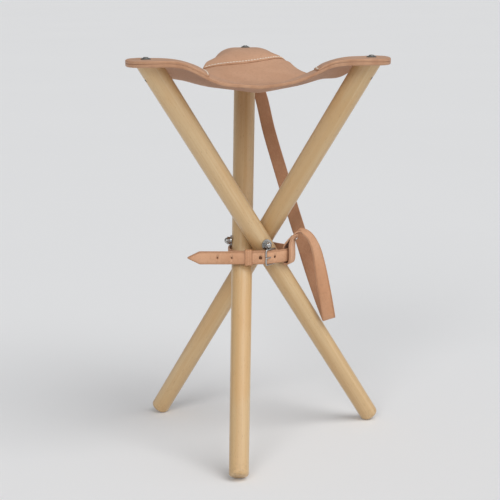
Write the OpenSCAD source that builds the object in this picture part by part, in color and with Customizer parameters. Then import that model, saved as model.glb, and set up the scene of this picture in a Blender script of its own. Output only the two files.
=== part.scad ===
// Folding three-legged stool: three tapered wooden legs on a three-way bolt, a slung leather seat,
// a buckled belt round the crossing and a carrying strap. Millimetres, +Z up, the floor at Z = 0,
// the tripod's vertical axis at the origin.

/* [Tripod] */
// Lean of each leg from upright when the stool stands open, in degrees
lean = 33.2; // [20:0.1:40]
// Height of the bolt above the floor
bolt_z = 303; // [200:1:400]
// Distance from the vertical axis to each leg's own axis
leg_off = 19.1; // [15:0.1:25]
// Leg radius at the foot
foot_r = 14; // [10:0.1:20]
// Leg radius at the top
top_r = 16.9; // [10:0.1:22]
// Length of leg below the bolt, along the leg
leg_below = 355.25; // [250:1:450]
// Radius of the rounded rim on the foot
foot_rim = 5; // [1:0.5:8]

/* [Bolt] */
// Bolt arm diameter
arm_d = 6; // [5:0.1:8]
// Radial clearance of an arm in its leg
arm_fit = 0.05; // [0.01:0.01:0.1]
// Washer outside diameter
washer_d = 16; // [12:0.5:20]
// Washer thickness
washer_t = 1.6; // [1:0.1:3]
// Cap nut width across flats
nut_af = 10; // [8:0.5:13]

/* [Seat] */
// Height of the leather's top at the screws, over the corner patches
seat_z = 578; // [400:1:700]
// Distance from the axis to each corner screw
screw_w = 181; // [150:1:220]
// Turn of the corners past the legs' lean, in degrees
corner_turn = 6; // [0:0.5:12]
// How far the middle of the seat hangs below its corners
sag = 41; // [10:1:80]
// Thickness of the seat leather
seat_t = 5; // [2:0.5:6]
// Thickness of a corner patch
patch_t = 4; // [2:0.5:6]
// Radius of the rounded corners
corner_r = 45; // [20:1:60]
// Distance from the axis to the centre of a corner's rounding
corner_c = 162; // [140:1:180]
// Distance from the axis to the middle of each side
side_w = 114; // [90:1:130]
// Distance from the axis at which the seat folds next to each corner
fold_w = 125; // [110:1:140]
// Radius of the patch's curved inner edge
patch_r = 98; // [60:1:140]

/* [Belt and strap] */
// Width of the belt round the crossing
belt_h = 19.5; // [15:0.5:25]
// Thickness of the belt
belt_t = 3; // [2:0.1:4]
// Height of the belt's lower edge
belt_z = 276.2; // [270:0.1:280]
// Length of the belt's free tip, from the middle of the front
tip_l = 98; // [60:1:140]
// Width of the carrying strap
strap_w = 20; // [15:0.5:25]
// Thickness of the carrying strap
strap_t = 2.6; // [1.5:0.1:3.5]

/* [Hidden] */
wood = [0.86, 0.71, 0.48];
hide = [0.80, 0.60, 0.45];
steel = [0.75, 0.76, 0.78];
thread = [0.93, 0.89, 0.80];
LEFT = 300;    // direction of each leg's bolt arm, in degrees
RIGHT = 60;
BACK = 180;
leg_above = 345;
leg_cut = seat_z - patch_t - seat_t - 0.3;
function corner_az(arm) = arm - 90 + corner_turn;
leg_r0 = foot_r + (top_r - foot_r) * leg_below / (leg_below + leg_above);
washer_r = leg_off + leg_r0 + 0.3;

// ---- places ----
// A leg's own frame: Z up the leg from the bolt, X out along the bolt arm.
module at_leg(arm) rotate([0, 0, arm]) translate([leg_off, 0, bolt_z]) rotate([lean, 0, 0]) children();
// Out along a bolt arm from the tripod's axis, with Z as the arm's direction.
module at_arm(arm) translate([0, 0, bolt_z]) rotate([0, 90, arm]) children();

// ---- wood ----
module leg(arm) color(wood) difference() {
  at_leg(arm) rotate_extrude($fn = 96) polygon(concat([[0, -leg_below]],
    [for (a = [-90:15:0]) [foot_r - foot_rim + foot_rim * cos(a),
      -leg_below + foot_rim + foot_rim * sin(a)]],
    [[top_r, leg_above], [0, leg_above]]));
  translate([-400, -400, leg_cut]) cube([800, 800, 120]);
  at_leg(arm) rotate([0, 90, 0]) cylinder(d = arm_d + 2 * arm_fit, h = 60, center = true, $fn = 48);
  rotate([0, 0, corner_az(arm)]) translate([screw_w, 0, leg_cut - 22])
    cylinder(d = 4.2, h = 60, $fn = 32);
}
module leg_left() leg(LEFT);
module leg_right() leg(RIGHT);
module leg_back() leg(BACK);

// ---- bolt ----
module tripod_bolt() color(steel) {
  for (arm = [LEFT, RIGHT, BACK]) at_arm(arm) translate([0, 0, 1])
    cylinder(d = arm_d, h = washer_r + washer_t + 5, $fn = 48);
  translate([0, 0, bolt_z - 3.5]) cylinder(r = 3.4, h = 7, $fn = 48);
}
module bolt_washers() color(steel) for (arm = [LEFT, RIGHT, BACK]) at_arm(arm)
  translate([0, 0, washer_r]) difference() {
    cylinder(d = washer_d, h = washer_t, $fn = 64);
    translate([0, 0, -1]) cylinder(d = arm_d + 0.4, h = washer_t + 2, $fn = 48);
  }
module cap_nuts() color(steel) for (arm = [LEFT, RIGHT, BACK]) at_arm(arm)
  translate([0, 0, washer_r + washer_t + 0.1]) difference() {
    union() {
      cylinder(d = nut_af / cos(30), h = 5, $fn = 6);
      rotate_extrude($fn = 64) polygon(concat([[0, 0], [4.6, 0]],
        [for (a = [0:10:90]) [4.6 * cos(a), 4.9 + 4.4 * sin(a)]]));
    }
    translate([0, 0, -1]) cylinder(d = arm_d + 0.1, h = 7.3, $fn = 48);
  }

// ---- seat leather: one surface, cut where it folds ----
function step3(t) = let(c = min(1, max(0, t))) c * c * (3 - 2 * c);
function rise(w) = step3((w - 30) / 120);
// Height of the seat sheet's top, for a point in the plane.
function seat_top(x, y) =
  let(ws = [for (arm = [LEFT, RIGHT, BACK]) let(a = corner_az(arm))
      [x * cos(a) + y * sin(a), y * cos(a) - x * sin(a)]],
    hs = [for (q = ws) max(0, sag * rise(q[0])
      - 0.002 * step3((q[0] - 60) / 60) * (1 - step3((q[0] - 120) / 35) * 0.75)
        * pow(max(0, abs(q[1]) - 18), 2) - 0.0022 * pow(max(0, q[0] - screw_w), 2))])
  seat_z - patch_t - sag + sqrt(hs[0] * hs[0] + hs[1] * hs[1] + hs[2] * hs[2]);

// The outline in one corner's frame: how far across the sheet reaches at w along the corner.
side_d = (corner_c * corner_c - corner_c * corner_c / 4 + pow(corner_c / 2, 2)
  - pow(side_w - corner_r, 2)) / (2 * (corner_c / 2 - (side_w - corner_r)));
side_r = side_d - side_w;
// Distance from the axis to the edge, at an angle off the corner's direction.
function edge(b) = let(a = 60 - abs(b), t = atan2(side_r * sin(turn0), side_d - side_r * cos(turn0)))
  abs(b) < 60 - t
    ? corner_c * cos(b) + sqrt(max(0, corner_r * corner_r - pow(corner_c * sin(b), 2)))
    : side_d * cos(a) - sqrt(side_r * side_r - pow(side_d * sin(a), 2));
turn0 = atan2(corner_c * sin(60), side_d - corner_c * cos(60));

// A sheet between two ways across it: rows of points, each row from the near side to the far side.
module sheet(rows, az, lift, t, shift = [0, 0]) {
  n = len(rows);
  m = len(rows[0]);
  top = [for (r = rows) for (p = r) let(x = p[0] * cos(az) - p[1] * sin(az),
    y = p[0] * sin(az) + p[1] * cos(az)) [x + shift[0], y + shift[1], seat_top(x, y) + lift]];
  pts = concat(top, [for (p = top) [p[0], p[1], p[2] - t]]);
  k = n * m;
  ring = concat([for (j = [0:m - 2]) j], [for (i = [0:n - 2]) i * m + m - 1],
    [for (j = [m - 1:-1:1]) (n - 1) * m + j], [for (i = [n - 1:-1:1]) i * m]);
  polyhedron(pts, concat(
    [for (i = [0:n - 2]) for (j = [0:m - 2]) each [
      [i * m + j, i * m + j + 1, (i + 1) * m + j + 1], [i * m + j, (i + 1) * m + j + 1, (i + 1) * m + j],
      [k + i * m + j, k + (i + 1) * m + j + 1, k + i * m + j + 1],
      [k + i * m + j, k + (i + 1) * m + j, k + (i + 1) * m + j + 1]]],
    [for (i = [0:len(ring) - 1]) let(a = ring[i], b = ring[(i + 1) % len(ring)])
      each [[a, k + a, k + b], [a, k + b, b]]]), convexity = 6);
}
// Where the fold line meets the edge of the sheet, as an angle off the corner's direction.
fold_b = [for (b = [15:0.05:45]) if (edge(b) * cos(b) >= fold_w) b][
  len([for (b = [15:0.05:45]) if (edge(b) * cos(b) >= fold_w) b]) - 1];
fold_v = edge(fold_b) * sin(fold_b);

// Half of a third of the seat, from the middle to the fold and on to the side's middle. turn is +1
// for the half towards the next corner anticlockwise, -1 for the other.
module seat_panel(arm, turn) color(hide) {
  az = corner_az(arm);
  inner = 2;
  rows = [for (i = [0:12]) let(f = pow(i / 12, 0.8)) [for (j = [0:14])
    let(b = turn > 0 ? 60 * j / 14 : -60 + 60 * j / 14,
      far = abs(b) < fold_b ? (fold_w - 0.15) / cos(b) : edge(b) - (abs(b) < fold_b + 0.01 ? 0.15 : 0),
      d = inner + (far - inner) * f) [d * cos(b), d * sin(b)]]];
  sheet(rows, az, 0, seat_t, 0.3 * [cos(az + 30 * turn), sin(az + 30 * turn)]);
}
module seat_corner(arm) color(hide) difference() {
  az = corner_az(arm);
  rows = [for (i = [0:12]) let(f = i / 12) [for (j = [0:24])
    let(b = -fold_b + 2 * fold_b * j / 24, near = (fold_w + 0.15) / cos(b),
      d = near + (max(near + 0.2, edge(b)) - near) * f) [d * cos(b), d * sin(b)]]];
  sheet(rows, az, 0, seat_t);
  rotate([0, 0, az]) translate([screw_w, 0, seat_z - 40]) cylinder(d = 4.6, h = 60, $fn = 32);
}
// The patch: the corner beyond an arc, laid on the seat sheet.
function patch_in(b) = let(c = fold_w - 22 + patch_r)
  c * cos(b) - sqrt(patch_r * patch_r - pow(c * sin(b), 2));
patch_b = [for (b = [15:0.05:29]) if (edge(b) >= patch_in(b) + 0.4) b][
  len([for (b = [15:0.05:29]) if (edge(b) >= patch_in(b) + 0.4) b]) - 1];
module corner_patch(arm) color(hide) difference() {
  az = corner_az(arm);
  rows = [for (i = [0:12]) let(f = i / 12) [for (j = [0:28])
    let(b = -patch_b + 2 * patch_b * j / 28, d = patch_in(b) + (edge(b) - patch_in(b)) * f)
    [d * cos(b), d * sin(b)]]];
  sheet(rows, az, patch_t, patch_t - 0.3);
  rotate([0, 0, az]) translate([screw_w, 0, seat_z - 40]) cylinder(d = 4.6, h = 60, $fn = 32);
}
// A row of stitches along the patch's inner edge, just above it.
module patch_stitches(arm) color(thread) for (k = [-12:12]) {
  ends = [for (c = [-0.75, 0.75]) let(b = patch_b * k / 13.5 + c, a = b + corner_az(arm),
    d = patch_in(b) + 4, x = d * cos(a), y = d * sin(a)) [x, y, seat_top(x, y) + patch_t + 0.75]];
  rod(ends[0], ends[1], 0.45);
}
module seat_washer(arm) color(steel) rotate([0, 0, corner_az(arm)])
  translate([screw_w, 0, seat_z + 0.05]) difference() {
    rotate_extrude($fn = 64) polygon([[0, 0], [7, 0], [7, 0.8], [5, 1.8], [0, 1.8]]);
    translate([0, 0, -1]) cylinder(d = 4.6, h = 4, $fn = 32);
  }
module seat_screw(arm) color(steel) rotate([0, 0, corner_az(arm)]) {
  translate([screw_w, 0, leg_cut - 20]) cylinder(d = 4, h = seat_z + 2.2 - leg_cut + 20, $fn = 32);
  translate([screw_w, 0, seat_z + 1.9]) difference() {
    rotate_extrude($fn = 48) polygon([[0, 0], [4, 0], [3.6, 0.9], [2, 1.5], [0, 1.6]]);
    translate([0, 0, 1.3]) cube([9, 1, 1.4], center = true);
  }
}
module seat_corner_left() seat_corner(LEFT);
module seat_corner_right() seat_corner(RIGHT);
module seat_corner_back() seat_corner(BACK);
module seat_panel_left_cw() seat_panel(LEFT, -1);
module seat_panel_left_ccw() seat_panel(LEFT, 1);
module seat_panel_right_cw() seat_panel(RIGHT, -1);
module seat_panel_right_ccw() seat_panel(RIGHT, 1);
module seat_panel_back_cw() seat_panel(BACK, -1);
module seat_panel_back_ccw() seat_panel(BACK, 1);
module corner_patch_left() corner_patch(LEFT);
module corner_patch_right() corner_patch(RIGHT);
module corner_patch_back() corner_patch(BACK);
module patch_stitches_left() patch_stitches(LEFT);
module patch_stitches_right() patch_stitches(RIGHT);
module patch_stitches_back() patch_stitches(BACK);
module seat_washer_left() seat_washer(LEFT);
module seat_washer_right() seat_washer(RIGHT);
module seat_washer_back() seat_washer(BACK);
module seat_screw_left() seat_screw(LEFT);
module seat_screw_right() seat_screw(RIGHT);
module seat_screw_back() seat_screw(BACK);

// ---- belt round the crossing ----
// The taut loop round the three legs, at an angle in the plane.
function hull_r(a) = 36.9 + 3.04 * cos(3 * a) - 3.37 * sin(3 * a) + 0.62 * cos(6 * a)
  - 1.11 * sin(6 * a);
belt_start = -45;    // the buckle's bar
belt_turn = 405;     // round to the middle of the front, over its own start
function belt_r(u) = hull_r(belt_start - u) + 3.9 + 2.2 * exp(-pow((u - 57) / 20, 2))
  + 7.2 * step3((u - 265) / 55);
function belt_p(u, o) = let(a = belt_start - u, r = belt_r(u) + o) [r * cos(a), r * sin(a)];
front_y = -belt_r(belt_turn);
bar = 40.6 * [cos(belt_start + 3), sin(belt_start + 3)];
end_bar = (belt_r(384) + belt_t / 2 + 1.4) * [cos(belt_start - 384), sin(belt_start - 384)];
belt_mid = belt_z + belt_h / 2;
frame_a = atan2(end_bar[1] - bar[1], end_bar[0] - bar[0]);
hole_x = [-54, -33, 9];

module belt() color(hide) difference() {
  union() {
    translate([0, 0, belt_z]) linear_extrude(height = belt_h) polygon(concat(
      [for (u = [1:3:belt_turn]) belt_p(u, belt_t / 2)], [belt_p(belt_turn, belt_t / 2)],
      [belt_p(belt_turn, -belt_t / 2)], [for (u = [belt_turn - 2:-3:1]) belt_p(u, -belt_t / 2)]));
    translate([0, front_y - belt_t / 2, belt_mid]) rotate([-90, 0, 0])
      linear_extrude(height = belt_t) polygon([[0.01, -belt_h / 2], [-tip_l + 17, -belt_h / 2],
        [-tip_l, -0.8], [-tip_l, 0.8], [-tip_l + 17, belt_h / 2], [0.01, belt_h / 2]]);
    translate([bar[0], bar[1], belt_z]) cylinder(r = 3.7, h = belt_h, $fn = 48);
  }
  translate([bar[0], bar[1], belt_z - 1]) cylinder(r = 1.45, h = belt_h + 2, $fn = 48);
  for (x = hole_x) translate([x, front_y, belt_mid]) rotate([90, 0, 0])
    cylinder(d = x > 0 ? 5 : 3.4, h = 9, center = true, $fn = 32);
  rotate([0, 0, -51]) translate([30, 0, belt_mid]) rotate([0, 90, 0])
    translate([0, 0, 14]) cylinder(d = 3.4, h = 12, $fn = 32);
  // room for the prong where it curls round the bar and comes up through the strap
  translate([bar[0], bar[1], belt_mid]) {
    translate([0, 0, -1.9]) cylinder(r = 4, h = 3.8, $fn = 48);
    rotate([0, 0, frame_a]) translate([0, -1.7, -1.7]) cube([24, 5.2, 3.4]);
  }
}
module belt_keeper() color(hide) translate([-14, 0, 0]) difference() {
  translate([0, front_y - belt_t / 2 - 1.8, belt_z - 1.8])
    cube([11, -36 - front_y + belt_t / 2 + 2, belt_h + 3.6]);
  translate([-1, front_y - belt_t / 2 - 0.3, belt_z - 0.3])
    cube([13, -37.3 - front_y + belt_t / 2, belt_h + 0.6]);
}
rail_z = belt_h / 2 + 1.35;
module rod(p, q, r) translate(p) rotate([0, atan2(norm([q[0] - p[0], q[1] - p[1]]), q[2] - p[2]),
  atan2(q[1] - p[1], q[0] - p[0])]) cylinder(r = r, h = norm(q - p), $fn = 32);
module buckle_frame() color(steel) {
  lo = belt_mid - rail_z;
  hi = belt_mid + rail_z;
  over = 1.2 * unit(end_bar - bar);
  for (z = [lo, hi]) rod([bar[0] - over[0], bar[1] - over[1], z],
    [end_bar[0] + over[0], end_bar[1] + over[1], z], 1.2);
  for (p = [bar, end_bar]) rod([p[0], p[1], lo], [p[0], p[1], hi], 1.2);
}
// The prong curls round the bar and lies across to the frame's far side.
module buckle_prong() color(steel) {
  l = norm(end_bar - bar);
  translate([bar[0], bar[1], belt_mid]) rotate([0, 0, frame_a]) difference() {
    union() {
      translate([0, 0, -1.6]) cylinder(r = 2.8, h = 3.2, $fn = 32);
      rod([1.8, 0.8, 0], [l + 2.5, 2.55, 0], 1.2);
    }
    translate([0, 0, -5]) cylinder(r = 1.3, h = 10, $fn = 32);
  }
}

// ---- carrying strap ----
// Each station: a point on the strap's middle line, and the way its width runs there.
stations = [
  [[-17, 201, 560], [1, 0.1, 0]], [[-13, 204, 545], [1, 0.1, 0]], [[-3, 194, 522], [0.97, 0.1, 0.15]],
  [[7, 176, 496], [0.95, 0.1, 0.22]], [[19, 140, 450], [0.93, 0.05, 0.27]],
  [[37, 104, 394], [0.93, 0, 0.29]], [[54, 74, 342], [0.93, 0, 0.3]],
  [[71, 47, 292], [0.93, 0, 0.31]], [[84, 32, 252], [0.93, 0, 0.32]],
  [[98, 22, 212], [0.93, 0, 0.33]], [[108.5, 19, 184], [0.94, 0, 0.33]],
  [[110.3, 15.5, 180.3], [0.94, 0, 0.33]], [[110.3, 11, 184], [0.95, 0, 0.3]],
  [[106, 7, 210], [0.96, 0.1, 0.2]], [[101, 4, 238], [0.93, 0.3, 0.12]],
  [[96, 1, 266], [0.82, 0.56, 0.1]], [[90, -2, 292], [0.62, 0.78, 0.1]],
  [[80, -4.5, 311], [0.44, 0.89, 0.12]], [[67, -7, 318.5], [0.38, 0.92, 0.1]],
  [[57.3, -10.6, 311.4], [0.38, 0.92, 0.05]], [[50.4, -13, 304.2], [0.39, 0.92, 0]],
  [[45.7, -14, 297], [0.38, 0.92, 0]], [[44.9, -14, 286], [0.4, 0.91, 0]],
  [[45.5, -14.2, 276.5], [0.41, 0.91, 0]], [[48.4, -15.4, 272.5], [0.41, 0.91, 0]],
  [[52.8, -17.3, 273.6], [0.41, 0.91, 0]], [[54.9, -18, 280], [0.41, 0.91, 0]],
  [[54.9, -18, 292], [0.41, 0.91, 0]], [[55, -17, 300.4], [0.41, 0.91, 0]],
  [[57.6, -14, 308.5], [0.39, 0.92, 0.02]], [[63, -11, 313.4], [0.38, 0.92, 0.06]]];
function spline(p0, p1, p2, p3, t) = 0.5 * (2 * p1 + (p2 - p0) * t
  + (2 * p0 - 5 * p1 + 4 * p2 - p3) * t * t + (3 * p1 - p0 - 3 * p2 + p3) * t * t * t);
function unit(v) = v / norm(v);
cuts = 4;
function along(k) = [for (i = [0:len(stations) - 2]) let(n = len(stations) - 1,
    a = stations[max(0, i - 1)][k], b = stations[i][k], c = stations[i + 1][k],
    d = stations[min(n, i + 2)][k]) for (j = [0:cuts - 1]) spline(a, b, c, d, j / cuts)];
strap_line = concat(along(0), [stations[len(stations) - 1][0]]);
strap_wide = concat(along(1), [stations[len(stations) - 1][1]]);
// The way across the strap and the way out of its face, at a place along it.
function strap_ways(i) = let(n = len(strap_line),
    f = unit(strap_line[min(n - 1, i + 1)] - strap_line[max(0, i - 1)]),
    w0 = unit(strap_wide[i]), w = unit(w0 - f * (w0 * f))) [w, cross(f, w)];
module carry_strap() color(hide) {
  n = len(strap_line);
  sections = [for (i = [0:n - 1]) let(p = strap_line[i], ways = strap_ways(i),
      w = ways[0] * strap_w / 2, u = ways[1] * strap_t / 2)
    [p + w + u, p - w + u, p - w - u, p + w - u]];
  polyhedron([for (s = sections) each s], concat([[0, 1, 2], [0, 2, 3]],
    [for (i = [0:n - 2]) for (j = [0:3]) let(a = 4 * i + j, b = 4 * i + (j + 1) % 4)
      each [[a, a + 4, b + 4], [a, b + 4, b]]],
    [[4 * n - 4, 4 * n - 2, 4 * n - 3], [4 * n - 4, 4 * n - 1, 4 * n - 2]]), convexity = 10);
}
// The rivet clamps the strap's end on its own start: a head on each side of the two layers.
rivet_at = 76;
module strap_rivet() color(steel) {
  way = strap_ways(rivet_at)[1];
  near = strap_line[rivet_at] - way * (strap_t / 2 + 0.6);
  far = strap_line[rivet_at] + way * (strap_t * 1.5 + 1.5);
  rod(near - way, near, 3.5);
  rod(far, far + way, 3.5);
}

leg_left();
leg_right();
leg_back();
tripod_bolt();
bolt_washers();
cap_nuts();
seat_corner_left();
seat_corner_right();
seat_corner_back();
seat_panel_left_cw();
seat_panel_left_ccw();
seat_panel_right_cw();
seat_panel_right_ccw();
seat_panel_back_cw();
seat_panel_back_ccw();
corner_patch_left();
corner_patch_right();
corner_patch_back();
patch_stitches_left();
patch_stitches_right();
patch_stitches_back();
seat_washer_left();
seat_washer_right();
seat_washer_back();
seat_screw_left();
seat_screw_right();
seat_screw_back();
belt();
belt_keeper();
buckle_frame();
buckle_prong();
carry_strap();
strap_rivet();
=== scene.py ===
"""Folding three-legged stool: camera, light, materials and the soft leather pieces round the CAD frame.

Places are worked out in millimetres, as in the CAD source, and made() turns them into metres.
"""

import math

import bpy
import numpy as np
from mathutils import Matrix, Vector


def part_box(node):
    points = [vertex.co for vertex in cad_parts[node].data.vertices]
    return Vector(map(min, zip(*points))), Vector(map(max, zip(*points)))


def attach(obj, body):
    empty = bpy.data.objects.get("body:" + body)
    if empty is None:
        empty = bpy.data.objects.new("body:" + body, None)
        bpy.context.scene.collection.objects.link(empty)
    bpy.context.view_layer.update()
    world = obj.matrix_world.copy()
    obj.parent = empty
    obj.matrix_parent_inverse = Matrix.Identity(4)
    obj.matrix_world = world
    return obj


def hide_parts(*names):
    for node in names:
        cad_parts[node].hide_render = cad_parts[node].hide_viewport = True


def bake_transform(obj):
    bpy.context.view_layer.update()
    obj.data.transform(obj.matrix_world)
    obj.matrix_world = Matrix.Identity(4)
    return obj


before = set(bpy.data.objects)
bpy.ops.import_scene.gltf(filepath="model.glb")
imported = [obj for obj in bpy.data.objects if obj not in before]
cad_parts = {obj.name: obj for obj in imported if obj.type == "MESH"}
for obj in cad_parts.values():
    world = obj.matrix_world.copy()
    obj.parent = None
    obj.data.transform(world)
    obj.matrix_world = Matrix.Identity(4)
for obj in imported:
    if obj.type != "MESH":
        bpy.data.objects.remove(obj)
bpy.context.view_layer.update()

MM = 0.001
Z_UP = Vector((0, 0, 1))
# The direction of each leg's bolt arm, in degrees
ARMS = {"left": 300, "right": 60, "back": 180}

# Seat, in millimetres and degrees
SEAT_Z = 578.0
SEAT_THICK = 5.0
PATCH_THICK = 4.0
PATCH_GAP = 0.15
SAG = 41.0
SCREW_W = 181.0
CORNER_TURN = 6
CORNER_R = 45.0
CORNER_C = 162.0
SIDE_W = 114.0
SHEET_RIM = 2.0
# How much a side's middle stands above the sling between its corners
SIDE_LIFT = 2.0
# How far each flap's two sides hang down next to its fold, anticlockwise and clockwise of its middle
DROOP = (8.0, 5.0)
# How much each corner arches across, in millimetres down per square millimetre across past its leg's top
ARCH = {"left": 0.0, "right": 0.0, "back": 0.011}
PATCH_R = 110.0
PATCH_C = 209.2
# How far each patch's inner line is turned from its corner's direction, in degrees: they were laid by hand
PATCH_TURN = {"left": 0.5, "right": 3.0, "back": 6.0}
PATCH_RIM = 1.6
# Radius of the patch's inner edge, the share of its thickness left there, and how far in it is full
PATCH_INNER_RIM = 1.2
PARED_SHARE = 0.42
PARED_OVER = 16.0
STITCH_INSET = 3.4
STITCH_R = 0.6
STITCH = 4.7

# Belt, buckle and strap, in millimetres
BELT_H = 19.5
BELT_T = 3.0
BELT_MID = 276.2 + BELT_H / 2
BELT_START = -45
BELT_TURN = 405
TIP_L = 98.0
STRAP_W = 20.0
STRAP_T = 2.6
ROD_R = 1.2
PRONG_R = 1.12
# Degrees of the belt that its own turned-back end covers
FOLD_BACK = 26
# The belt's holes, along its front: two spare ones in its tip and a wider one between keeper and buckle
SPARE_HOLES = (-54, -33)
WIDE_HOLE = 9


# ---- camera, light and floor ----
def make_camera():
    """Two metres in front and 0.7 m up, looking slightly down."""
    back, high = 2.007456, 0.698293
    turn, pan, tilt, roll = (math.radians(a) for a in (1.546, -0.141, -11.533, -0.319))
    ahead = Vector((math.sin(pan) * math.cos(tilt), math.cos(pan) * math.cos(tilt), math.sin(tilt)))
    right = ahead.cross(Z_UP).normalized()
    up = right.cross(ahead)
    across = right * math.cos(roll) + up * math.sin(roll)
    upward = up * math.cos(roll) - right * math.sin(roll)
    data = bpy.data.cameras.new("camera")
    data.sensor_width = 36
    data.lens = 98.92
    data.shift_x = -0.0037
    camera = bpy.data.objects.new("camera", data)
    look = Matrix((across, upward, -ahead)).transposed().to_4x4()
    camera.matrix_world = Matrix.Rotation(turn, 4, "Z") @ Matrix.Translation((0, -back, high)) @ look
    bpy.context.scene.collection.objects.link(camera)
    bpy.context.scene.camera = camera


def make_sun(name, towards, strength, softness, colour):
    """A soft studio light as wide as softness degrees, shining along towards."""
    data = bpy.data.lights.new(name, "SUN")
    data.energy = strength
    data.angle = math.radians(softness)
    data.color = colour
    sun = bpy.data.objects.new(name, data)
    sun.rotation_mode = "QUATERNION"
    sun.rotation_quaternion = Vector(towards).to_track_quat("-Z", "Y")
    bpy.context.scene.collection.objects.link(sun)


def make_studio():
    """Even light from all round, a key light high on the right, and softer ones from the front and right."""
    scene = bpy.context.scene
    scene.view_settings.view_transform = "Standard"
    scene.world = bpy.data.worlds.new("studio")
    scene.world.use_nodes = True
    ambient = scene.world.node_tree.nodes["Background"]
    ambient.inputs["Color"].default_value = (0.97, 0.985, 1.0, 1)
    ambient.inputs["Strength"].default_value = 0.32
    make_sun("key_light", (-0.42, 0.36, -0.84), 1.30, 42, (1.0, 0.985, 0.955))
    make_sun("front_light", (0.25, 0.83, -0.50), 0.84, 26, (1.0, 0.99, 0.97))
    make_sun("side_light", (-0.90, 0.32, -0.28), 0.62, 70, (1.0, 0.985, 0.955))


# ---- materials ----
def add(tree, kind, inputs=None, **settings):
    """A shader node with its settings, and its inputs set to values or linked to sockets."""
    node = tree.nodes.new("ShaderNode" + kind)
    for key, value in settings.items():
        setattr(node, key, value)
    for key, value in (inputs or {}).items():
        if isinstance(value, bpy.types.NodeSocket):
            tree.links.new(value, node.inputs[key])
        else:
            node.inputs[key].default_value = value
    return node


def noise(tree, place, scale, detail=3.0, roughness=0.55, distortion=0.0):
    """Smooth noise at place, mostly from 0 to 1."""
    inputs = {"Vector": place, "Scale": scale, "Detail": detail, "Roughness": roughness,
              "Distortion": distortion}
    return add(tree, "TexNoise", inputs).outputs["Fac"]


def spread(tree, value, low, high, to_low=0.0, to_high=1.0):
    """value from low to high, as to_low to to_high."""
    inputs = {"Value": value, "From Min": low, "From Max": high, "To Min": to_low, "To Max": to_high}
    return add(tree, "MapRange", inputs).outputs["Result"]


def maths(tree, operation, a, b=0.0):
    """a and b through one Math node."""
    return add(tree, "Math", {0: a, 1: b}, operation=operation).outputs[0]


def mixed(tree, share, a, b):
    """Colour a at share 0 and colour b at share 1."""
    node = add(tree, "Mix", data_type="RGBA")
    # a Mix node has sockets of each name for every data type, and only this type's are enabled
    for name, value in (("Factor", share), ("A", a), ("B", b)):
        socket = next(s for s in node.inputs if s.name == name and s.enabled)
        if isinstance(value, bpy.types.NodeSocket):
            tree.links.new(value, socket)
        else:
            socket.default_value = value
    return next(s for s in node.outputs if s.enabled)


def bumped(tree, height, depth, strength=1.0, below=None):
    """A shading normal from height, on top of the normal in below when there is one."""
    inputs = {"Height": height, "Distance": depth, "Strength": strength}
    if below is not None:
        inputs["Normal"] = below
    return add(tree, "Bump", inputs).outputs["Normal"]


def rgb(r, g, b):
    """An opaque colour."""
    return (r, g, b, 1.0)


def new_material(name):
    """A material, its node tree and its Principled shader."""
    material = bpy.data.materials.new(name)
    material.use_nodes = True
    tree = material.node_tree
    return material, tree, tree.nodes["Principled BSDF"]


def stored(tree, name, output):
    """What a mesh stores at its points under that name."""
    return add(tree, "Attribute", attribute_name=name).outputs[output]


def leather_grain(name, light, dark, edge_tone):
    """Smooth vegetable-tanned leather: mottled tan, fine grain, pores, soft creases, darker at cut edges."""
    material, tree, shader = new_material(name)
    place = stored(tree, "cut", "Vector")
    burnish = stored(tree, "burnish", "Fac")
    clouds = noise(tree, place, 11, 4, 0.6, 0.6)
    specks = noise(tree, place, 240, 4, 0.65)
    cells = add(tree, "TexVoronoi", {"Vector": place, "Scale": 620.0}, feature="F1").outputs["Distance"]
    colour = mixed(tree, spread(tree, clouds, 0.32, 0.68), rgb(*dark), rgb(*light))
    worn = tuple(0.72 * c for c in dark)
    colour = mixed(tree, spread(tree, specks, 0.5, 0.78, 0, 0.45), colour, rgb(*worn))
    pores = spread(tree, cells, 0.0, 0.3, 0.35, 0.0)
    colour = mixed(tree, pores, colour, rgb(*worn))
    edge_noise = spread(tree, noise(tree, place, 130, 3), 0.3, 0.7, 0.75, 1.15)
    edge_share = spread(tree, maths(tree, "MULTIPLY", burnish, edge_noise), 0.15, 1.0, 0.0, edge_tone)
    colour = mixed(tree, edge_share, colour, rgb(0.400, 0.190, 0.095))
    tree.links.new(colour, shader.inputs["Base Color"])
    gloss = spread(tree, noise(tree, place, 45, 4), 0.3, 0.7, 0.42, 0.60)
    tree.links.new(gloss, shader.inputs["Roughness"])
    shader.inputs["Specular IOR Level"].default_value = 0.42
    creases = noise(tree, place, 34, 5, 0.62, 1.4)
    grain = maths(tree, "ADD", cells, maths(tree, "MULTIPLY", noise(tree, place, 900, 2), 0.6))
    bump = bumped(tree, creases, 0.0011, 0.35)
    tree.links.new(bumped(tree, grain, 0.00012, 0.75, bump), shader.inputs["Normal"])
    return material


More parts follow.
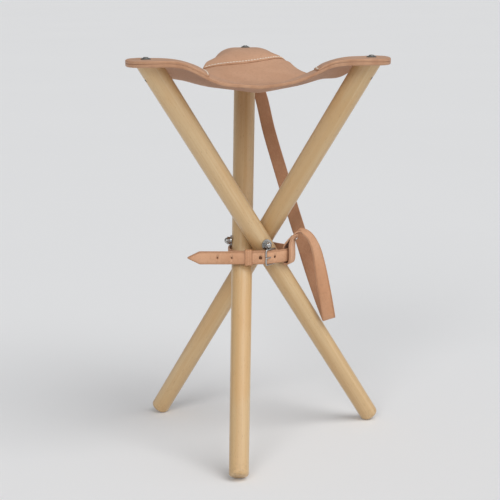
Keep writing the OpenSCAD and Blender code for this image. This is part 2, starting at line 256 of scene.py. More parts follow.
def leather_flesh():
    """The back of the leather: darker, matt and fibrous."""
    material, tree, shader = new_material("leather_flesh")
    place = stored(tree, "cut", "Vector")
    burnish = stored(tree, "burnish", "Fac")
    long_way = add(tree, "Mapping", {"Vector": place, "Scale": (2.6, 0.7, 1.0)}).outputs["Vector"]
    clouds = noise(tree, place, 16, 4, 0.6)
    fibres = noise(tree, long_way, 420, 6, 0.72, 0.4)
    colour = mixed(tree, spread(tree, clouds, 0.3, 0.7), rgb(0.370, 0.180, 0.100), rgb(0.480, 0.262, 0.155))
    colour = mixed(tree, spread(tree, fibres, 0.42, 0.75, 0, 0.5), colour, rgb(0.60, 0.38, 0.245))
    colour = mixed(tree, spread(tree, burnish, 0.1, 1.0, 0, 0.6), colour, rgb(0.26, 0.115, 0.056))
    tree.links.new(colour, shader.inputs["Base Color"])
    shader.inputs["Roughness"].default_value = 0.88
    shader.inputs["Specular IOR Level"].default_value = 0.25
    shader.inputs["Sheen Weight"].default_value = 0.12
    shader.inputs["Sheen Roughness"].default_value = 0.5
    tree.links.new(bumped(tree, fibres, 0.0003, 0.8), shader.inputs["Normal"])
    return material


def leather_edge():
    """A cut edge, smoothed and a little glossy, with faint darker layers along it."""
    material, tree, shader = new_material("leather_edge")
    place = stored(tree, "cut", "Vector")
    layers = add(tree, "Mapping", {"Vector": place, "Scale": (0.25, 0.25, 4.0)}).outputs["Vector"]
    streaks = noise(tree, layers, 330, 4, 0.6)
    clouds = noise(tree, place, 55, 3)
    colour = mixed(tree, spread(tree, clouds, 0.3, 0.7), rgb(0.440, 0.225, 0.125), rgb(0.580, 0.335, 0.200))
    colour = mixed(tree, spread(tree, streaks, 0.48, 0.78, 0, 0.5), colour, rgb(0.340, 0.155, 0.080))
    tree.links.new(colour, shader.inputs["Base Color"])
    tree.links.new(spread(tree, streaks, 0.3, 0.7, 0.30, 0.50), shader.inputs["Roughness"])
    tree.links.new(bumped(tree, streaks, 0.00025, 0.5), shader.inputs["Normal"])
    return material


def leg_wood(leg):
    """Pale clear-finished hardwood with its grain along that leg, and scuffs near the foot."""
    arm = math.radians(ARMS[leg])
    lean, leg_off, bolt_z, foot = math.radians(33.2), 0.0191, 0.303, -0.35525
    material, tree, shader = new_material("wood_" + leg)
    at_rest = add(tree, "TexCoord").outputs["Object"]
    centre = (leg_off * math.cos(arm), leg_off * math.sin(arm), bolt_z)
    own = add(tree, "Mapping", {"Vector": at_rest, "Location": centre, "Rotation": (lean, 0, arm)},
              vector_type="TEXTURE").outputs["Vector"]
    pith = (0.021, 0.034 - 0.01 * math.cos(arm), 0)
    board = add(tree, "Mapping", {"Vector": own, "Location": pith, "Scale": (1, 1, 0.05)}).outputs["Vector"]
    rings = add(tree, "TexWave", {"Vector": board, "Scale": 95.0, "Distortion": 3.2, "Detail": 2.0,
                                  "Detail Scale": 0.35, "Detail Roughness": 0.5},
                wave_type="RINGS", rings_direction="Z", wave_profile="SAW").outputs["Fac"]
    along = add(tree, "Mapping", {"Vector": own, "Scale": (1, 1, 0.022)}).outputs["Vector"]
    streaks = noise(tree, along, 620, 3, 0.6)
    broad = noise(tree, along, 90, 3, 0.55, 0.3)
    short = add(tree, "Mapping", {"Vector": own, "Scale": (1, 1, 0.13)}).outputs["Vector"]
    flecks = noise(tree, short, 1150, 1, 0.5)
    colour = mixed(tree, spread(tree, broad, 0.3, 0.7), rgb(0.570, 0.375, 0.178), rgb(0.690, 0.510, 0.292))
    colour = mixed(tree, spread(tree, rings, 0.0, 1.0, 0.0, 0.30), colour, rgb(0.60, 0.360, 0.150))
    colour = mixed(tree, spread(tree, streaks, 0.45, 0.75, 0.0, 0.38), colour, rgb(0.56, 0.330, 0.140))
    colour = mixed(tree, spread(tree, flecks, 0.66, 0.74, 0.0, 0.5), colour, rgb(0.36, 0.20, 0.09))
    stretched = add(tree, "Mapping", {"Vector": own, "Scale": (1, 1, 0.35)}).outputs["Vector"]
    blotches = spread(tree, noise(tree, stretched, 26, 2, 0.5), 0.5, 0.72, 0.0, 0.42)
    colour = mixed(tree, blotches, colour, rgb(0.600, 0.325, 0.110))
    height = add(tree, "SeparateXYZ", {"Vector": own}).outputs["Z"]
    low = spread(tree, height, foot + 0.022, foot, 0.0, 1.0)
    scuffs = spread(tree, noise(tree, own, 260, 4, 0.7), 0.45, 0.7, 0.0, 1.0)
    colour = mixed(tree, maths(tree, "MULTIPLY", maths(tree, "MULTIPLY", low, scuffs), 0.55),
                   colour, rgb(0.25, 0.16, 0.09))
    tree.links.new(colour, shader.inputs["Base Color"])
    tree.links.new(spread(tree, streaks, 0.3, 0.8, 0.36, 0.52), shader.inputs["Roughness"])
    shader.inputs["Coat Weight"].default_value = 0.45
    shader.inputs["Coat Roughness"].default_value = 0.30
    relief = maths(tree, "ADD", streaks, maths(tree, "MULTIPLY", rings, 0.4))
    tree.links.new(bumped(tree, relief, 0.00008, 0.6), shader.inputs["Normal"])
    return material


def bright_metal(name, colour, low_gloss, high_gloss):
    """Bright plated steel with faint scratches and uneven polish."""
    material, tree, shader = new_material(name)
    place = add(tree, "TexCoord").outputs["Object"]
    stretched = add(tree, "Mapping", {"Vector": place, "Scale": (1.0, 0.12, 1.0)}).outputs["Vector"]
    scratches = noise(tree, stretched, 2400, 3, 0.6)
    clouds = noise(tree, place, 380, 3)
    tone = mixed(tree, spread(tree, clouds, 0.3, 0.7), rgb(*colour), rgb(*[0.82 * c for c in colour]))
    tree.links.new(tone, shader.inputs["Base Color"])
    shader.inputs["Metallic"].default_value = 1.0
    tree.links.new(spread(tree, clouds, 0.3, 0.7, low_gloss, high_gloss), shader.inputs["Roughness"])
    tree.links.new(bumped(tree, scratches, 0.00003, 0.5), shader.inputs["Normal"])
    return material


def waxed_thread():
    """Off-white waxed thread, with the twist of its plies."""
    material, tree, shader = new_material("waxed_thread")
    place = stored(tree, "cut", "Vector")
    plies = add(tree, "TexWave", {"Vector": place, "Scale": 260.0, "Distortion": 0.4},
                wave_type="BANDS", bands_direction="DIAGONAL").outputs["Fac"]
    tone = mixed(tree, spread(tree, plies, 0.2, 0.8), rgb(0.80, 0.73, 0.60), rgb(0.96, 0.93, 0.85))
    tree.links.new(tone, shader.inputs["Base Color"])
    shader.inputs["Roughness"].default_value = 0.58
    shader.inputs["Sheen Weight"].default_value = 0.2
    tree.links.new(bumped(tree, plies, 0.0002, 0.7), shader.inputs["Normal"])
    return material


def floor_paint():
    """A plain pale floor, very slightly uneven."""
    material, tree, shader = new_material("floor_paint")
    place = add(tree, "TexCoord").outputs["Object"]
    clouds = spread(tree, noise(tree, place, 0.6, 3), 0.3, 0.7)
    tone = mixed(tree, clouds, rgb(0.842, 0.852, 0.875), rgb(0.852, 0.862, 0.885))
    tree.links.new(tone, shader.inputs["Base Color"])
    shader.inputs["Roughness"].default_value = 0.9
    shader.inputs["Specular IOR Level"].default_value = 0.1
    return material


# ---- meshes ----
def made(name, points, faces, slots, materials, cut=None, burnish=None):
    """A smooth mesh object from points in millimetres, with what its materials read stored at its points."""
    mesh = bpy.data.meshes.new(name)
    mesh.from_pydata((np.asarray(points, float) * MM).tolist(), [], faces)
    for material in materials:
        mesh.materials.append(material)
    mesh.polygons.foreach_set("material_index", slots)
    mesh.polygons.foreach_set("use_smooth", [True] * len(faces))
    if cut is not None:
        stored_cut = mesh.attributes.new("cut", "FLOAT_VECTOR", "POINT")
        stored_cut.data.foreach_set("vector", (np.asarray(cut, float) * MM).astype(np.float32).ravel())
    if burnish is not None:
        stored_edge = mesh.attributes.new("burnish", "FLOAT", "POINT")
        stored_edge.data.foreach_set("value", np.asarray(burnish, np.float32))
    mesh.set_sharp_from_angle(angle=math.radians(42))
    mesh.update()
    piece = bpy.data.objects.new(name, mesh)
    bpy.context.scene.collection.objects.link(piece)
    return piece


def unit(v):
    """v, or each row of v, with length 1."""
    return v / np.linalg.norm(v, axis=-1, keepdims=True)


def step3(t):
    """A smooth step from 0 at t = 0 to 1 at t = 1."""
    c = np.clip(t, 0, 1)
    return c * c * (3 - 2 * c)


def corner_az(leg):
    """The direction of a seat corner, in degrees."""
    return ARMS[leg] - 90 + CORNER_TURN


# ---- the seat's outline as in the CAD source, and its surface with softer sides ----
def seat_top(x, y):
    """Height of the seat sheet's top, for points in the plane."""
    total, lift = 0, 0
    for leg in ARMS:
        a = math.radians(corner_az(leg))
        w = x * math.cos(a) + y * math.sin(a)
        v = y * math.cos(a) - x * math.sin(a)
        droop = np.where(v > 0, *DROOP)
        v = np.abs(v)
        # the sling rises from the middle to the corner and falls off beside the corner's middle line
        sides = 0.002 * step3((w - 60) / 60) * (1 - step3((w - 120) / 35) * 0.75)
        h = SAG * step3((w - 30) / 120) - sides * np.maximum(0, v - 18) ** 2
        # its two sides hang lower beside the fold
        h = h - droop * (v / 62) ** 2 * step3((w - 68) / 55) * (1 - step3((w - 130) / 40))
        # it arches across past the leg's top, and its tip turns down past the screw
        h = h - ARCH[leg] * np.maximum(0, v - 15) ** 2 * step3((w - 120) / 40)
        h = h - 0.0022 * np.maximum(0, w - SCREW_W) ** 2
        total = total + np.maximum(0, h) ** 2
        # the middle of the side opposite this corner, where the edge runs level
        lift = lift + SIDE_LIFT * step3((-w - 60) / 54) * (1 - step3(v / 24))
    return SEAT_Z - PATCH_THICK - SAG + np.sqrt(total) + lift


SIDE_D = (0.75 * CORNER_C**2 + (CORNER_C / 2) ** 2 - (SIDE_W - CORNER_R) ** 2) / (
    2 * (CORNER_C / 2 - (SIDE_W - CORNER_R)))
SIDE_R = SIDE_D - SIDE_W
ARC_END = math.atan2(CORNER_C * math.sin(math.pi / 3), SIDE_D - CORNER_C / 2)
JOIN = math.atan2(SIDE_R * math.sin(ARC_END), SIDE_D - SIDE_R * math.cos(ARC_END))


def seat_edge(b):
    """Distance from the axis to the seat's edge, b radians off a corner's direction."""
    side = math.pi / 3 - abs(b)
    if side > JOIN:
        return CORNER_C * math.cos(b) + math.sqrt(max(0, CORNER_R**2 - (CORNER_C * math.sin(b)) ** 2))
    return SIDE_D * math.cos(side) - math.sqrt(SIDE_R**2 - (SIDE_D * math.sin(side)) ** 2)


def patch_inner(b, leg):
    """Distance from the axis to a patch's curved inner edge, b radians off the corner's direction."""
    c = b - math.radians(PATCH_TURN[leg])
    return PATCH_C * math.cos(c) - math.sqrt(max(0, PATCH_R**2 - (PATCH_C * math.sin(c)) ** 2))


def patch_end(turn, leg):
    """How far round from the corner's direction the patch reaches on one side, in radians."""
    return max(b for b in np.radians(np.arange(15, 45, 0.05))
               if seat_edge(turn * b) > patch_inner(turn * b, leg) + 3.2)


def pared(inset):
    """The share of a patch's thickness left, that far in from its inner edge."""
    return PARED_SHARE + (1 - PARED_SHARE) * step3(inset / PARED_OVER)


def sheet_profile(thick, rims, inner_rim, rows):
    """The section of a sheet with rounded edges, from its inner edge over its top and back under it.

    rims has the outer edge's radius above and below. Each row is: share of the way out, offset outwards,
    offset up, and 0 for grain, 1 for flesh or 2 for edge."""
    def turned(r, wide, sign, angles, down):
        """Rows round a rounded edge, on the top or, with down, on the underside."""
        base = -(thick - r) if down else -r
        return [(0.5 + sign / 2, sign * (wide - r + r * math.sin(a)), base + r * math.cos(a),
                 0 if a < 0.9 else 2) for a in np.radians(angles)]

    run = np.linspace(0, 1, rows + 1)
    top = [(f, 0, 0, 0) for f in run]
    under = [(f, 0, -thick, 1) for f in run[::-1]]
    above, below = rims
    wide = max(rims)
    outer = turned(above, wide, 1, (22, 45, 68, 90), False)
    outer += turned(below, wide, 1, (90, 112, 135, 158), True)
    if not inner_rim:
        return np.array(top + outer + under)
    first = turned(inner_rim, inner_rim, -1, (90, 68, 45, 22), False)
    last = turned(inner_rim, inner_rim, -1, (158, 135, 112, 90), True)
    return np.array(first + top + outer + under + last)


def half_sheet(name, leg, turn, inner, outer, end, lift, profile, rim, inner_rim, columns, tones):
    """Half of a corner's leather, from the corner's middle line round to end radians off it.

    Both halves meet in one plane, with the normals of the whole surface, so no seam shows."""
    az = math.radians(corner_az(leg))
    share, out, up, zone = profile.T

    def section(b):
        """The leather's section b radians off the corner's middle line, and how far out each point is."""
        low, high = inner(b) + inner_rim, outer(b) - rim
        d = low + share * (high - low) + out
        x, y = d * math.cos(az + b), d * math.sin(az + b)
        height = lift + up
        if inner_rim:
            height = PATCH_GAP + (height - PATCH_GAP) * pared(d - inner(b))
        return np.stack([x, y, seat_top(x, y) + height], 1), d

    n = len(profile)
    angles = turn * np.linspace(0, end, columns + 1)
    nudge = math.radians(0.04)
    points, normals, edge_near = [], [], []
    for b in angles:
        p, d = section(b)
        across = section(b + nudge)[0] - section(b - nudge)[0]
        along = np.roll(p, -1, 0) - np.roll(p, 1, 0)
        if not inner_rim:
            along[0] = p[1] - p[0]
            along[-1] = p[-1] - p[-2]
        facing = np.cross(across, along)
        facing[d < 1e-6] = 0
        facing = facing / np.maximum(np.linalg.norm(facing, axis=1, keepdims=True), 1e-12)
        points.append(p)
        normals.append(facing)
        near = outer(b) - d
        if inner_rim:
            near = np.minimum(near, d - inner(b))
        edge_near.append(near)
    points, normals = np.concatenate(points), np.concatenate(normals)
    top = np.tile((zone == 0) & (out == 0), columns + 1)
    if normals[top][:, 2].mean() < 0:
        normals = -normals
    pole = np.linalg.norm(normals, axis=1) < 0.5
    normals[pole] = np.where(np.tile(up, columns + 1)[pole, None] < -1, (0, 0, -1), (0, 0, 1))
    burnish = np.clip(1 - np.concatenate(edge_near) / 3.5, 0, 1)
    cut = points * (1, 1, 0) + np.tile(up, columns + 1)[:, None] * (0, 0, 1)

    # the middle of the seat is one point on each side for all columns
    same = np.arange(len(points))
    if not inner_rim:
        same[::n], same[n - 1 :: n] = 0, n - 1
    faces, slots, flat = [], [], []

    def face(corners, slot, is_flat=False):
        """Keep a face, unless merged corners leave it without area."""
        corners = list(dict.fromkeys(int(same[c]) for c in corners))
        if len(corners) > 2:
            faces.append(corners)
            slots.append(slot)
            flat.append(is_flat)

    for j in range(columns):
        for i in range(n):
            k = (i + 1) % n
            face((j * n + i, j * n + k, (j + 1) * n + k, (j + 1) * n + i), int(max(zone[i], zone[k])))
    for i in range(n // 2 - 1):
        far = columns * n
        face((i + 1, i, n - 1 - i, n - 2 - i), 2, True)
        face((far + i, far + i + 1, far + n - 2 - i, far + n - 1 - i), 2, True)

    used = np.unique(np.concatenate([np.array(f) for f in faces]))
    index = np.full(len(points), -1)
    index[used] = np.arange(len(used))
    faces = [[int(index[c]) for c in f] for f in faces]
    points, normals, burnish, cut = points[used], normals[used], burnish[used], cut[used]
    if signed_volume(points, faces) < 0:
        faces = [f[::-1] for f in faces]
    piece = made(name, points, faces, slots, tones, cut, burnish)
    wanted = []
    for polygon, is_flat in zip(piece.data.polygons, flat):
        wanted += [polygon.normal[:] if is_flat else tuple(normals[v]) for v in polygon.vertices]
    piece.data.normals_split_custom_set(wanted)
    return piece


def strip_profile(thick, rim, grooves, depth=0.3, wide=0.55):
    """The section of a strip: side, how far in from its edge, how far out of its middle, zone and burnish."""
    half = thick / 2
    quarter = [math.radians(a) for a in (90, 60, 30, 0)]
    right = [(1, rim * (1 - math.sin(a)), half - rim * (1 - math.cos(a)), 2 if a > 0.6 else 0, 1)
             for a in quarter]
    for inset in grooves:
        right += [(1, inset - wide, half, 0, 0.25), (1, inset, half - depth, 0, 0.75),
                  (1, inset + wide, half, 0, 0.1)]
    left = [(-1, *row[1:]) for row in right[::-1]]
    under = [(-1, rim * (1 - math.sin(a)), -half + rim * (1 - math.cos(a)), 2 if a > 0.6 else 1,
              0.9 if a > 0.1 else 0.3) for a in quarter]
    under += [(-1, 3 * rim, -half, 1, 0), (1, 3 * rim, -half, 1, 0)]
    under += [(1, *row[1:]) for row in under[3::-1]]
    return np.array(right + left + under)


def ribbon(name, line, wide, half, profile, tones, closed=False):
    """A strip of leather swept along line, with its width along wide and its grain side out."""
    line, wide = np.asarray(line, float), np.asarray(wide, float)
    half = np.broadcast_to(half, len(line))
    if closed:
        ahead = np.roll(line, -1, 0) - np.roll(line, 1, 0)
    else:
        ahead = np.gradient(line, axis=0)
    ahead = unit(ahead)
    across = unit(wide - ahead * (wide * ahead).sum(1, keepdims=True))
    outward = np.cross(ahead, across)
    side, inset, out, zone, burnish = profile.T
    reach = side * (half[:, None] - np.minimum(inset, 0.96 * half[:, None]))
    points = line[:, None] + across[:, None] * reach[..., None] + outward[:, None] * out[:, None]
    steps = np.linalg.norm(np.diff(line, axis=0), axis=1)
    length = np.concatenate([[0], np.cumsum(steps)])
    cut = np.stack([reach, np.broadcast_to(length[:, None], reach.shape),
                    np.broadcast_to(out, reach.shape)], -1)
    n, m = len(line), len(profile)
    faces, slots = [], []
    for i in range(n if closed else n - 1):
        for j in range(m):
            k, nxt = (j + 1) % m, (i + 1) % n
            faces.append((i * m + j, i * m + k, nxt * m + k, nxt * m + j))
            slots.append(int(max(zone[j], zone[k])))
    if not closed:
        faces += [tuple(range(m))[::-1], tuple((n - 1) * m + j for j in range(m))]
        slots += [2, 2]
    flat_points = points.reshape(-1, 3)
    if signed_volume(flat_points, faces) < 0:
        faces = [tuple(f[::-1]) for f in faces]
    return made(name, flat_points, faces, slots, tones, cut.reshape(-1, 3), np.tile(burnish, n))


def signed_volume(points, faces):
    """Six times the volume inside the faces, above 0 if they face outwards."""
    return sum(float(np.dot(points[f[0]], np.cross(points[f[i]], points[f[i + 1]])))
               for f in faces for i in range(1, len(f) - 1))


def tube(line, radius, sides=10, closed=False):
    """Points, faces and stored places of a round rod along line, with flat ends if it is open."""
    line = np.asarray(line, float)
    radius = np.broadcast_to(radius, len(line)).astype(float)
    if closed:
        ahead = unit(np.roll(line, -1, 0) - np.roll(line, 1, 0))
    else:
        ahead = unit(np.gradient(line, axis=0))
    start = np.cross(ahead[0], (0.3, 0.5, 0.81))
    normal = start / np.linalg.norm(start)
    rings, places, length = [], [], 0.0
    angles = np.arange(sides) * 2 * math.pi / sides
    for i, (p, f, r) in enumerate(zip(line, ahead, radius)):
        normal = normal - f * np.dot(normal, f)
        normal = normal / np.linalg.norm(normal)
        side = np.cross(f, normal)
        length += np.linalg.norm(p - line[i - 1]) if i else 0.0
        rings.append(p + r * (np.cos(angles)[:, None] * normal + np.sin(angles)[:, None] * side))
        places += [(r * a, length, 0.0) for a in angles]
    points, n = np.concatenate(rings), len(line)
    faces = []
    for i in range(n if closed else n - 1):
        for j in range(sides):
            k, nxt = (j + 1) % sides, (i + 1) % n
            faces.append((i * sides + j, i * sides + k, nxt * sides + k, nxt * sides + j))
    if not closed:
        faces += [tuple(range(sides))[::-1], tuple((n - 1) * sides + j for j in range(sides))]
    return points, faces, np.array(places)


def rounded_ends(line, radius, steps=4):
    """The line with extra points at its ends and the radii that round it off there."""
    line = np.asarray(line, float)
    first, last = unit(line[0] - line[1]), unit(line[-1] - line[-2])
    shares = [math.sin(math.pi / 2 * k / steps) for k in range(1, steps + 1)]
    radii = [radius * math.sqrt(max(0.02, 1 - s * s)) for s in shares]
    head = [line[0] + first * radius * s for s in shares][::-1]
    tail = [line[-1] + last * radius * s for s in shares]
    full = np.concatenate([head, line, tail])
    return full, np.array(radii[::-1] + [radius] * len(line) + radii)


def joined(name, parts, material):
    """One piece of several rods."""
    points, faces, places, start = [], [], [], 0
    for p, f, c in parts:
        if signed_volume(p, f) < 0:
            f = [corners[::-1] for corners in f]
        points.append(p)
        places.append(c)
        faces += [tuple(v + start for v in corners) for corners in f]
        start += len(p)
    return made(name, np.concatenate(points), faces, [0] * len(faces), [material],
                np.concatenate(places), np.zeros(start))


def catmull(points, cuts):
    """A smooth line through points, with cuts steps between each two."""
    k = np.asarray(points, float)
    last = len(k) - 1
    line = []
    for i in range(last):
        a, b, c, d = k[max(0, i - 1)], k[i], k[i + 1], k[min(last, i + 2)]
        for t in np.arange(cuts) / cuts:
            line.append(0.5 * (2 * b + (c - a) * t + (2 * a - 5 * b + 4 * c - d) * t**2
                               + (3 * b - a - 3 * c + d) * t**3))
    return np.array(line + [k[-1]])


def rounded_box(half_x, half_y, r, steps=5):
    """Points round a rectangle with rounded corners, in its own plane."""
    line = []
    for sx, sy, start in ((1, 1, 0), (-1, 1, 90), (-1, -1, 180), (1, -1, 270)):
        for a in np.radians(start + np.linspace(0, 90, steps + 1)):
            line.append((sx * (half_x - r) + r * math.cos(a), sy * (half_y - r) + r * math.sin(a)))
    return np.array(line)


def drilled(piece, cutters):
    """piece with the cutters taken out of it."""
    for cutter in cutters:
        modifier = piece.modifiers.new("hole", "BOOLEAN")
        modifier.operation = "DIFFERENCE"
        modifier.solver = "EXACT"
        modifier.object = cutter
    graph = bpy.context.evaluated_depsgraph_get()
    mesh = bpy.data.meshes.new_from_object(piece.evaluated_get(graph))
    piece.modifiers.clear()
    piece.data = mesh
    for cutter in cutters:
        bpy.data.objects.remove(cutter)
    return piece


def round_cutter(place, way, radius, length, material):
    """A rod centred at place, to take out of a piece."""
    ends = np.asarray(place, float) + np.outer((-0.5, 0.0, 0.5), np.asarray(way, float) * length)
    return joined("cutter", [tube(ends, radius, 24)], material)


# ---- the leather seat ----
def blend_corner(piece):
    """The piece's placement is baked into its mesh."""
    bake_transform(piece)


def make_seat(tones):
    """Six half kites of the sagging seat sheet."""
    profile = sheet_profile(SEAT_THICK, (SHEET_RIM / 2, SHEET_RIM), 0, 44)
    for leg in ARMS:
        for way, turn in (("cw", -1), ("ccw", 1)):
            piece = half_sheet(f"seat_leather_{leg}_{way}", leg, turn, lambda b: 0.0, seat_edge,
                               math.pi / 3, 0, profile, SHEET_RIM, 0, 34, tones)
            blend_corner(piece)
            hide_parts(f"seat_panel_{leg}_{way}", f"seat_corner_{leg}")


def make_patches(tones, thread):
    """The thick corner patches, each in two halves, and their rows of stitches."""
    profile = sheet_profile(PATCH_THICK - PATCH_GAP, (PATCH_RIM, 0.5), PATCH_INNER_RIM, 26)
    for leg in ARMS:
        for way, turn in (("cw", -1), ("ccw", 1)):
            end = patch_end(turn, leg)
            piece = half_sheet(f"patch_leather_{leg}_{way}", leg, turn,
                               lambda b, leg=leg: patch_inner(b, leg), seat_edge, end,
                               PATCH_THICK, profile, PATCH_RIM, PATCH_INNER_RIM, 30, tones)
            blend_corner(piece)
            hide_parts("corner_patch_" + leg)
            stitches = make_stitches(leg, way, turn, end, thread)
            blend_corner(stitches)
            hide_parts("patch_stitches_" + leg)


def make_stitches(leg, way, turn, end, thread):
    """Each stitch rises out of one hole, lies along the leather and dips into the next."""
    az = math.radians(corner_az(leg))
    above = PATCH_GAP + (PATCH_THICK - PATCH_GAP) * float(pared(STITCH_INSET))
    # how far along the row each angle is
    offsets = np.linspace(0, end, 400)
    reach = np.array([patch_inner(turn * b, leg) + STITCH_INSET for b in offsets])
    row = np.stack([reach * np.cos(offsets), reach * np.sin(offsets)], 1)
    run = np.concatenate([[0], np.cumsum(np.linalg.norm(np.diff(row, axis=0), axis=1))])
    parts = []
    for middle in np.arange(0 if turn > 0 else STITCH, run[-1] - 5, STITCH):
        line = []
        for s in np.linspace(-0.32, 0.32, 7):
            place = middle + s * STITCH
            b = turn * math.copysign(float(np.interp(abs(place), run, offsets)), place)
            d = patch_inner(b, leg) + STITCH_INSET
            x, y = d * math.cos(az + b), d * math.sin(az + b)
            rise = 0.45 - 1.3 * max(0, abs(s) - 0.2) / 0.12
            line.append((x, y, float(seat_top(x, y)) + above + rise))
        parts.append(tube(*rounded_ends(line, STITCH_R, 2), sides=8))
    return joined(f"stitches_{leg}_{way}", parts, thread)


# ---- the belt, its buckle and its keeper ----
def hull_r(a):
    """Radius of the taut loop round the three legs, at a degrees."""
    a3, a6 = math.radians(3 * a), math.radians(6 * a)
    return 36.9 + 3.04 * math.cos(a3) - 3.37 * math.sin(a3) + 0.62 * math.cos(a6) - 1.11 * math.sin(a6)


def belt_r(u):
    """Radius of the belt's middle, u degrees round from the buckle's bar."""
    over = 7.2 * float(step3((u - 265) / 55))
    return hull_r(BELT_START - u) + 3.9 + 2.2 * math.exp(-(((u - 57) / 20) ** 2)) + over


def belt_point(u, out=0.0):
    """A place on the belt's middle line, or that far outside it."""
    a, r = math.radians(BELT_START - u), belt_r(u) + out
    return np.array([r * math.cos(a), r * math.sin(a), BELT_MID])


def polar(r, degrees, z=BELT_MID):
    """The place r from the axis, in that direction and at height z."""
    return np.array([r * math.cos(math.radians(degrees)), r * math.sin(math.radians(degrees)), z])


BAR = polar(40.6, BELT_START + 3)
END_BAR = polar(belt_r(384) + BELT_T / 2 + 1.4, BELT_START - 384)
FRONT_Y = -belt_r(BELT_TURN)
RAIL = BELT_H / 2 + 1.35


def make_belt(tones, edge):
    """From its turned-back end, round the bar, once and an eighth round the legs and out to its tip."""
    turned_back = [belt_point(u, 3.05) for u in np.arange(FOLD_BACK, 5, -3)]
    out_way = unit(belt_point(0, 1) - belt_point(0))
    ahead_way = unit(belt_point(0) - belt_point(4))
    loop = [BAR + 2.75 * (math.cos(a) * out_way + math.sin(a) * ahead_way)
            for a in np.radians(np.arange(15, 166, 25))]
    start = [belt_point(u, -1.4 * (1 - (u - 3) / 12)) for u in (5, 9, 13)]
    round_legs = [belt_point(u) for u in np.arange(17, BELT_TURN, 3)] + [belt_point(BELT_TURN)]
    tip = [np.array([x, FRONT_Y, BELT_MID]) for x in np.linspace(-3, -TIP_L, 60)]
    line = np.array(turned_back + loop + start + round_legs + tip)
    from_tip = TIP_L + line[:, 0] + np.where(line[:, 1] < FRONT_Y + 0.01, 0, 1000)
    half = np.interp(from_tip, (0, 0.4, 17, 18.5), (0.7, 1.2, BELT_H / 2 - 0.3, BELT_H / 2))
    half[: len(turned_back) + len(loop) + len(start)] = BELT_H / 2
    profile = strip_profile(BELT_T, 1.25, (2.5,))
    belt = ribbon("belt_leather", line, np.tile((0.0, 0.0, -1.0), (len(line), 1)), half, profile, tones)
    # a thin skin of the flesh side still closes the two spare holes
    cutters = [round_cutter((x, FRONT_Y - 3.4, BELT_MID), (0, 1, 0), 1.5, 9, edge) for x in SPARE_HOLES]
    cutters.append(round_cutter((WIDE_HOLE, FRONT_Y, BELT_MID), (0, 1, 0), 2.5, 9, edge))
    # a hole between the buckle's two bars, and a slot round the bar that the prong turns on
    hole_way = polar(1, -51, 0)
    cutters.append(round_cutter(hole_way * 48 + (0, 0, BELT_MID), hole_way, 1.7, 9, edge))
    slot_way = unit(END_BAR - BAR)
    slot = [BAR - slot_way * 6.5, BAR, BAR + slot_way * 9]
    cutters.append(joined("cutter", [tube(slot, 2.0, 24)], edge))
    drilled(belt, cutters)
    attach(belt, "tripod")
    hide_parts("belt")


def make_keeper(tones):
    """The loop that holds the belt's tip, with four lines pressed into it."""
    low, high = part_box("belt_keeper")
    wall = 1.5
    centre = (low + high) / 2 / MM
    half_y, half_z = ((high - low) / 2 / MM)[1:]
    r = 2.2
    line = [(centre[0], centre[1] + y, centre[2] + z)
            for y, z in rounded_box(half_y - wall / 2, half_z - wall / 2, r)]
    wide = np.tile((1.0, 0.0, 0.0), (len(line), 1))
    half = (high - low)[0] / 2 / MM
    profile = strip_profile(wall, 0.6, (2.0, 4.2), 0.28, 0.45)
    keeper = ribbon("keeper_loop", line, wide, half, profile, tones, closed=True)
    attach(keeper, "tripod")
    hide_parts("belt_keeper")


def make_buckle(metal):
    """A wire frame with rounded corners, and the prong that turns on its bar."""
    way = unit(END_BAR - BAR)
    middle = (BAR + END_BAR) / 2
    half = float(np.linalg.norm(END_BAR - BAR)) / 2
    outline = rounded_box(half, RAIL, 2.6, 6)
    wire = [middle + way * x + np.array([0, 0, z]) for x, z in outline]
    buckle = joined("buckle_wire", [tube(wire, ROD_R, 14, closed=True)], metal)
    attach(buckle, "tripod")
    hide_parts("buckle_frame")
    out = np.cross(np.array([0, 0, 1.0]), way)
    curl = [BAR + 2.42 * (math.cos(a) * way + math.sin(a) * out)
            for a in np.radians(np.arange(-250, 21, 22.5))]
    reach = 2 * half
    shaft = [BAR + way * x + out * y
             for x, y in ((4.5, 1.45), (8, 1.85), (0.55 * reach, 2.2), (0.8 * reach, 2.5), (reach, 2.55),
                          (reach + 2.6, 2.2))]
    line = catmull(curl + shaft, 3)
    full, radii = rounded_ends(line, PRONG_R, 3)
    prong = joined("prong_wire", [tube(full, radii, 12)], metal)
    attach(prong, "tripod")
    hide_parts("buckle_prong")


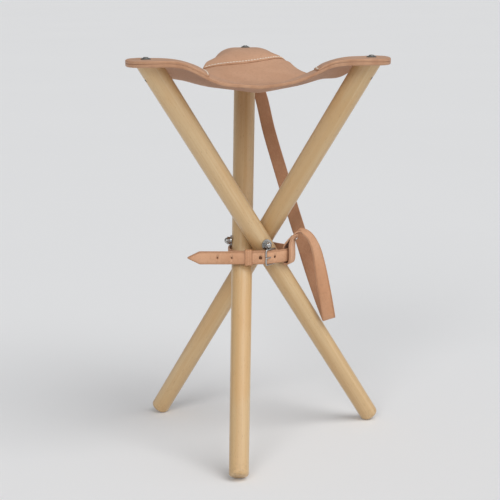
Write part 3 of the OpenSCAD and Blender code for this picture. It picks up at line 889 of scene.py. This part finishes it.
# ---- the carrying strap: its route is the CAD strap's, point and width direction ----
STATIONS = [
    ((-17, 201, 560), (1, 0.1, 0)), ((-13, 204, 545), (1, 0.1, 0)), ((-3, 194, 522), (0.97, 0.1, 0.15)),
    ((7, 176, 496), (0.95, 0.1, 0.22)), ((19, 140, 450), (0.93, 0.05, 0.27)),
    ((37, 104, 394), (0.93, 0, 0.29)), ((54, 74, 342), (0.93, 0, 0.3)),
    ((71, 47, 292), (0.93, 0, 0.31)), ((84, 32, 252), (0.93, 0, 0.32)),
    ((98, 22, 212), (0.93, 0, 0.33)), ((108.5, 19, 184), (0.94, 0, 0.33)),
    ((110.3, 15.5, 180.3), (0.94, 0, 0.33)), ((110.3, 11, 184), (0.95, 0, 0.3)),
    ((106, 7, 210), (0.96, 0.1, 0.2)), ((101, 4, 238), (0.93, 0.3, 0.12)),
    ((96, 1, 266), (0.82, 0.56, 0.1)), ((90, -2, 292), (0.62, 0.78, 0.1)),
    ((80, -4.5, 311), (0.44, 0.89, 0.12)), ((67, -7, 318.5), (0.38, 0.92, 0.1)),
    ((57.3, -10.6, 311.4), (0.38, 0.92, 0.05)), ((50.4, -13, 304.2), (0.39, 0.92, 0)),
    ((45.7, -14, 297), (0.38, 0.92, 0)), ((44.9, -14, 286), (0.4, 0.91, 0)),
    ((45.5, -14.2, 276.5), (0.41, 0.91, 0)), ((48.4, -15.4, 272.5), (0.41, 0.91, 0)),
    ((52.8, -17.3, 273.6), (0.41, 0.91, 0)), ((54.9, -18, 280), (0.41, 0.91, 0)),
    ((54.9, -18, 292), (0.41, 0.91, 0)), ((55, -17, 300.4), (0.41, 0.91, 0)),
    ((57.6, -14, 308.5), (0.39, 0.92, 0.02)), ((63, -11, 313.4), (0.38, 0.92, 0.06))]


def make_strap(tones):
    """One strip of leather, from under the back corner down, up again and round the belt."""
    line = catmull([p for p, _ in STATIONS], 8)
    wide = -catmull([w for _, w in STATIONS], 8)
    steps = np.concatenate([[0], np.cumsum(np.linalg.norm(np.diff(line, axis=0), axis=1))])
    from_end = steps[-1] - steps
    half = np.interp(from_end, (0, 0.8, 2.5, 5, 8), (6.0, 7.6, 9.0, 9.8, STRAP_W / 2))
    profile = strip_profile(STRAP_T, 1.1, (2.3,))
    strap = ribbon("strap_leather", line, wide, half, profile, tones)
    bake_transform(strap)
    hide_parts("carry_strap")


def make_floor():
    """A wide plain floor."""
    reach = 60000
    corners = [(-reach, -reach, 0), (reach, -reach, 0), (reach, reach, 0), (-reach, reach, 0)]
    floor = made("floor", corners, [(0, 1, 2, 3)], [0], [floor_paint()])


def paint(node, material):
    """A CAD node keeps its shape and gets that material."""
    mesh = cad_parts[node].data
    mesh.materials.clear()
    mesh.materials.append(material)


make_camera()
make_studio()
make_floor()

FLESH, EDGE = leather_flesh(), leather_edge()
SEAT_TONES = [leather_grain("seat_grain", (0.620, 0.368, 0.240), (0.500, 0.280, 0.172), 0.55), FLESH, EDGE]
BELT_TONES = [leather_grain("belt_grain", (0.720, 0.415, 0.250), (0.570, 0.290, 0.155), 0.95), FLESH, EDGE]
PLATED = bright_metal("plated_steel", (0.52, 0.52, 0.51), 0.16, 0.30)
DULL = bright_metal("brushed_steel", (0.60, 0.60, 0.58), 0.30, 0.44)
DARK = bright_metal("dark_steel", (0.27, 0.27, 0.26), 0.38, 0.55)
THREAD = waxed_thread()

for leg_name in ARMS:
    paint("leg_" + leg_name, leg_wood(leg_name))
    paint("seat_washer_" + leg_name, DARK)
    paint("seat_screw_" + leg_name, DARK)
for node_name in ("bolt_washers", "cap_nuts", "strap_rivet"):
    paint(node_name, PLATED)
paint("tripod_bolt", DULL)

make_seat(SEAT_TONES)
make_patches(SEAT_TONES, THREAD)
make_belt(BELT_TONES, EDGE)
make_keeper(BELT_TONES)
make_buckle(PLATED)
make_strap(BELT_TONES)
